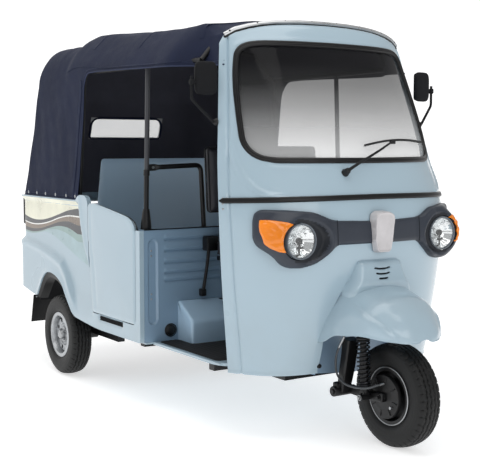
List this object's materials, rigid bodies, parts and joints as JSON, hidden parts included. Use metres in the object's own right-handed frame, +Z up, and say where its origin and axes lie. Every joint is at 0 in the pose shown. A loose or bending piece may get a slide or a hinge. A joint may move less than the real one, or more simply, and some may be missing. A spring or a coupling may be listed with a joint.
{
  "type": "auto rickshaw",
  "caption": "Auto rickshaw with a pressed steel front cab, steerable front wheel, cloth canopy on bows, half doors, passenger bench and rear engine.",
  "frame": {"origin": "on the floor, under the middle of the vehicle's bounding box", "axes": "+Z up, front of the vehicle towards -Y, its right-hand side towards -X"},
  "size_m": [1.268, 2.6896, 1.7379],
  "materials": {
    "body_paint": "gloss pale blue paint",
    "black_metal": "satin black paint",
    "canopy_cloth": "coated navy cloth",
    "grey_metal": "satin grey paint",
    "window_glass": "clear",
    "clear_sheet": "clear flexible sheet",
    "black_rubber": "satin",
    "black_plastic": "grained",
    "dark_plastic": "grained slate plastic",
    "lamp_glass": "clear lens over reflector",
    "amber_plastic": "clear amber lens",
    "silver_metal": "satin",
    "red_plastic": "ribbed red lens",
    "plate_metal": "blank plate",
    "seat_vinyl": "charcoal vinyl",
    "cast_metal": "as cast",
    "wheel_steel": "silver paint",
    "tyre_rubber": "tread rubber"
  },
  "bodies": {
    "body": {"battery_cover": "body_paint", "belt_moulding": "black_rubber", "bulkhead": "body_paint", "canopy": "canopy_cloth", "canopy_bows": "black_metal", "canopy_side_rails": "black_metal", "chassis_cross_members": "black_metal", "chassis_rails": "black_metal", "door_mirrors": "black_plastic", "driver_seat_back": "seat_vinyl", "driver_seat_cushion": "seat_vinyl", "driver_seat_frame": "black_metal", "engine_block": "cast_metal", "floor_pan": "body_paint", "front_indicators": "amber_plastic", "front_mudguard": "body_paint", "front_shell": "body_paint", "guard_rails": "black_metal", "headlamps": "lamp_glass", "lamp_surround": "dark_plastic", "mud_flaps": "black_rubber", "nose_plate": "silver_metal", "rear_bumper": "black_metal", "rear_dampers": "black_metal", "rear_seat_back": "body_paint", "rear_seat_base": "body_paint", "rear_seat_cushion": "seat_vinyl", "rear_swing_arms": "black_metal", "rear_window": "clear_sheet", "roof_posts": "grey_metal", "roof_trim": "silver_metal", "side_panel_left": "body_paint", "side_panel_right": "body_paint", "steering_neck": "black_metal", "tail_lamps": "red_plastic", "tail_panel": "body_paint", "wheel_arch_liners": "black_plastic", "windscreen_glass": "window_glass", "windscreen_seal": "black_rubber", "wiper": "black_plastic"},
    "steering": {"steering_fork": "black_metal", "front_link_arm": "black_metal", "front_damper": "black_metal", "brake_hose": "black_rubber", "handlebar": "black_metal"},
    "front_wheel": {"front_tyre": "tyre_rubber", "front_rim": "black_metal"},
    "rear_wheel_right": {"rear_tyre_right": "tyre_rubber", "rear_rim_right": "wheel_steel"},
    "rear_wheel_left": {"rear_tyre_left": "tyre_rubber", "rear_rim_left": "wheel_steel"},
    "side_door_right": {"side_door_right": "body_paint"},
    "side_door_left": {"side_door_left": "body_paint"},
    "engine_lid": {"engine_lid": "body_paint", "number_plate": "plate_metal"}
  },
  "joints": [
    {"name": "steering", "type": "hinge", "parent": "body", "child": "steering", "pos_m": [0, -0.8814, 0.9], "axis": [0, 0.2957, 0.9553], "range_deg": [-40, 40]},
    {"name": "front_wheel_spin", "type": "hinge", "parent": "steering", "child": "front_wheel", "pos_m": [0, -1.141, 0.2037], "axis": [1, 0, 0], "continuous": true},
    {"name": "rear_wheel_right_spin", "type": "hinge", "parent": "body", "child": "rear_wheel_right", "pos_m": [-0.5417, 0.779, 0.2037], "axis": [1, 0, 0], "continuous": true},
    {"name": "rear_wheel_left_spin", "type": "hinge", "parent": "body", "child": "rear_wheel_left", "pos_m": [0.5417, 0.779, 0.2037], "axis": [1, 0, 0], "continuous": true},
    {"name": "side_door_right_hinge", "type": "hinge", "parent": "body", "child": "side_door_right", "pos_m": [-0.609, 0.391, 0.63], "axis": [0, 0, -1], "range_deg": [0, 75]},
    {"name": "side_door_left_hinge", "type": "hinge", "parent": "body", "child": "side_door_left", "pos_m": [0.609, 0.391, 0.63], "axis": [0, 0, 1], "range_deg": [0, 75]},
    {"name": "engine_lid_hinge", "type": "hinge", "parent": "body", "child": "engine_lid", "pos_m": [0, 1.321, 0.846], "axis": [1, 0, 0], "range_deg": [0, 80]}
  ]
}
